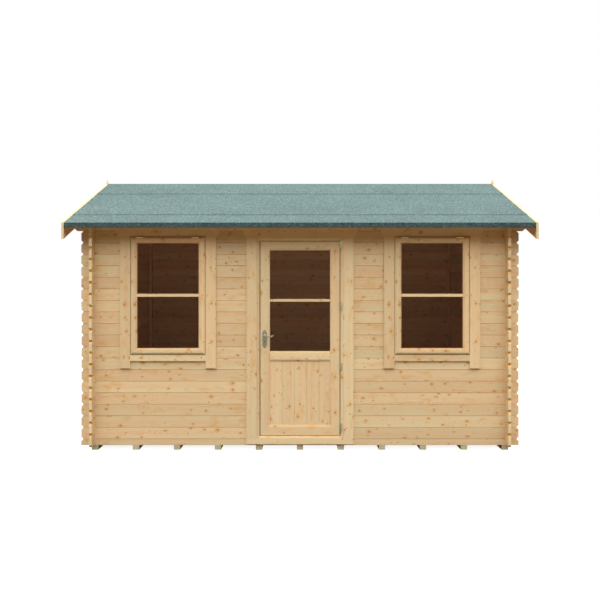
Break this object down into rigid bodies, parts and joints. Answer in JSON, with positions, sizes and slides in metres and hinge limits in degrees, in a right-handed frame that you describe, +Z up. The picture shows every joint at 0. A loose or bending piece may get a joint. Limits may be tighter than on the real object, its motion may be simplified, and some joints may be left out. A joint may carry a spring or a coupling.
{
  "type": "log cabin",
  "caption": "Gabled timber garden cabin of interlocking logs with felted roof, glazed opening door and two windows.",
  "frame": {"origin": "on the ground under the middle of the cabin", "axes": "+X to the right as seen from in front of the door, +Y from the door wall to the back wall, +Z up"},
  "size_m": [4.464, 3.21, 2.7835],
  "materials": {
    "log_timber": "planed spruce, bare",
    "trim_timber": "planed spruce, bare",
    "door_timber": "planed spruce, bare",
    "barge_timber": "planed spruce, bare",
    "roof_timber": "planed spruce, bare",
    "floor_timber": "planed spruce, bare",
    "treated_timber": "sawn, pressure treated",
    "mineral_felt": "green mineral grit",
    "glazing": "clear",
    "hinge_steel": "zinc plated",
    "handle_metal": "brushed"
  },
  "bodies": {
    "cabin": {"back_purlin": "roof_timber", "back_wall": "log_timber", "barge_boards_left": "barge_timber", "barge_boards_right": "barge_timber", "door_casing": "trim_timber", "door_frame": "trim_timber", "door_hinge_frame_halves": "hinge_steel", "eaves_board_back": "roof_timber", "eaves_board_front": "roof_timber", "felt_eaves_back": "mineral_felt", "felt_eaves_front": "mineral_felt", "felt_middle_back": "mineral_felt", "felt_middle_front": "mineral_felt", "felt_ridge": "mineral_felt", "finial_left": "barge_timber", "finial_right": "barge_timber", "floor_bearers": "treated_timber", "floor_boards": "floor_timber", "front_base_log": "log_timber", "front_purlin": "roof_timber", "front_wall_left": "log_timber", "front_wall_over_door": "log_timber", "front_wall_right": "log_timber", "left_gable_wall": "log_timber", "ridge_purlin": "roof_timber", "right_gable_wall": "log_timber", "roof_boards_back": "roof_timber", "roof_boards_front": "roof_timber", "wind_braces": "log_timber", "window_casing_left": "trim_timber", "window_casing_right": "trim_timber", "window_frame_left": "trim_timber", "window_frame_right": "trim_timber", "window_glass_left": "glazing", "window_glass_right": "glazing", "window_hinges_left": "hinge_steel", "window_hinges_right": "hinge_steel", "window_sash_left": "trim_timber", "window_sash_right": "trim_timber"},
    "door": {"door_leaf": "door_timber", "door_panel": "door_timber", "door_glass": "glazing", "door_hinge_leaves": "hinge_steel", "door_handle_plates": "handle_metal"},
    "handle": {"door_levers": "handle_metal"}
  },
  "joints": [
    {"name": "door_swing", "type": "hinge", "parent": "cabin", "child": "door", "pos_m": [0.394, -1.422, 1.07], "axis": [0, 0, 1], "range_deg": [0, 110]},
    {"name": "handle_turn", "type": "hinge", "parent": "door", "child": "handle", "pos_m": [-0.34, -1.39, 1.103], "axis": [0, 1, 0], "range_deg": [0, 40], "stiffness_Nm_per_rad": 0.8, "springref_deg": -34.38}
  ]
}
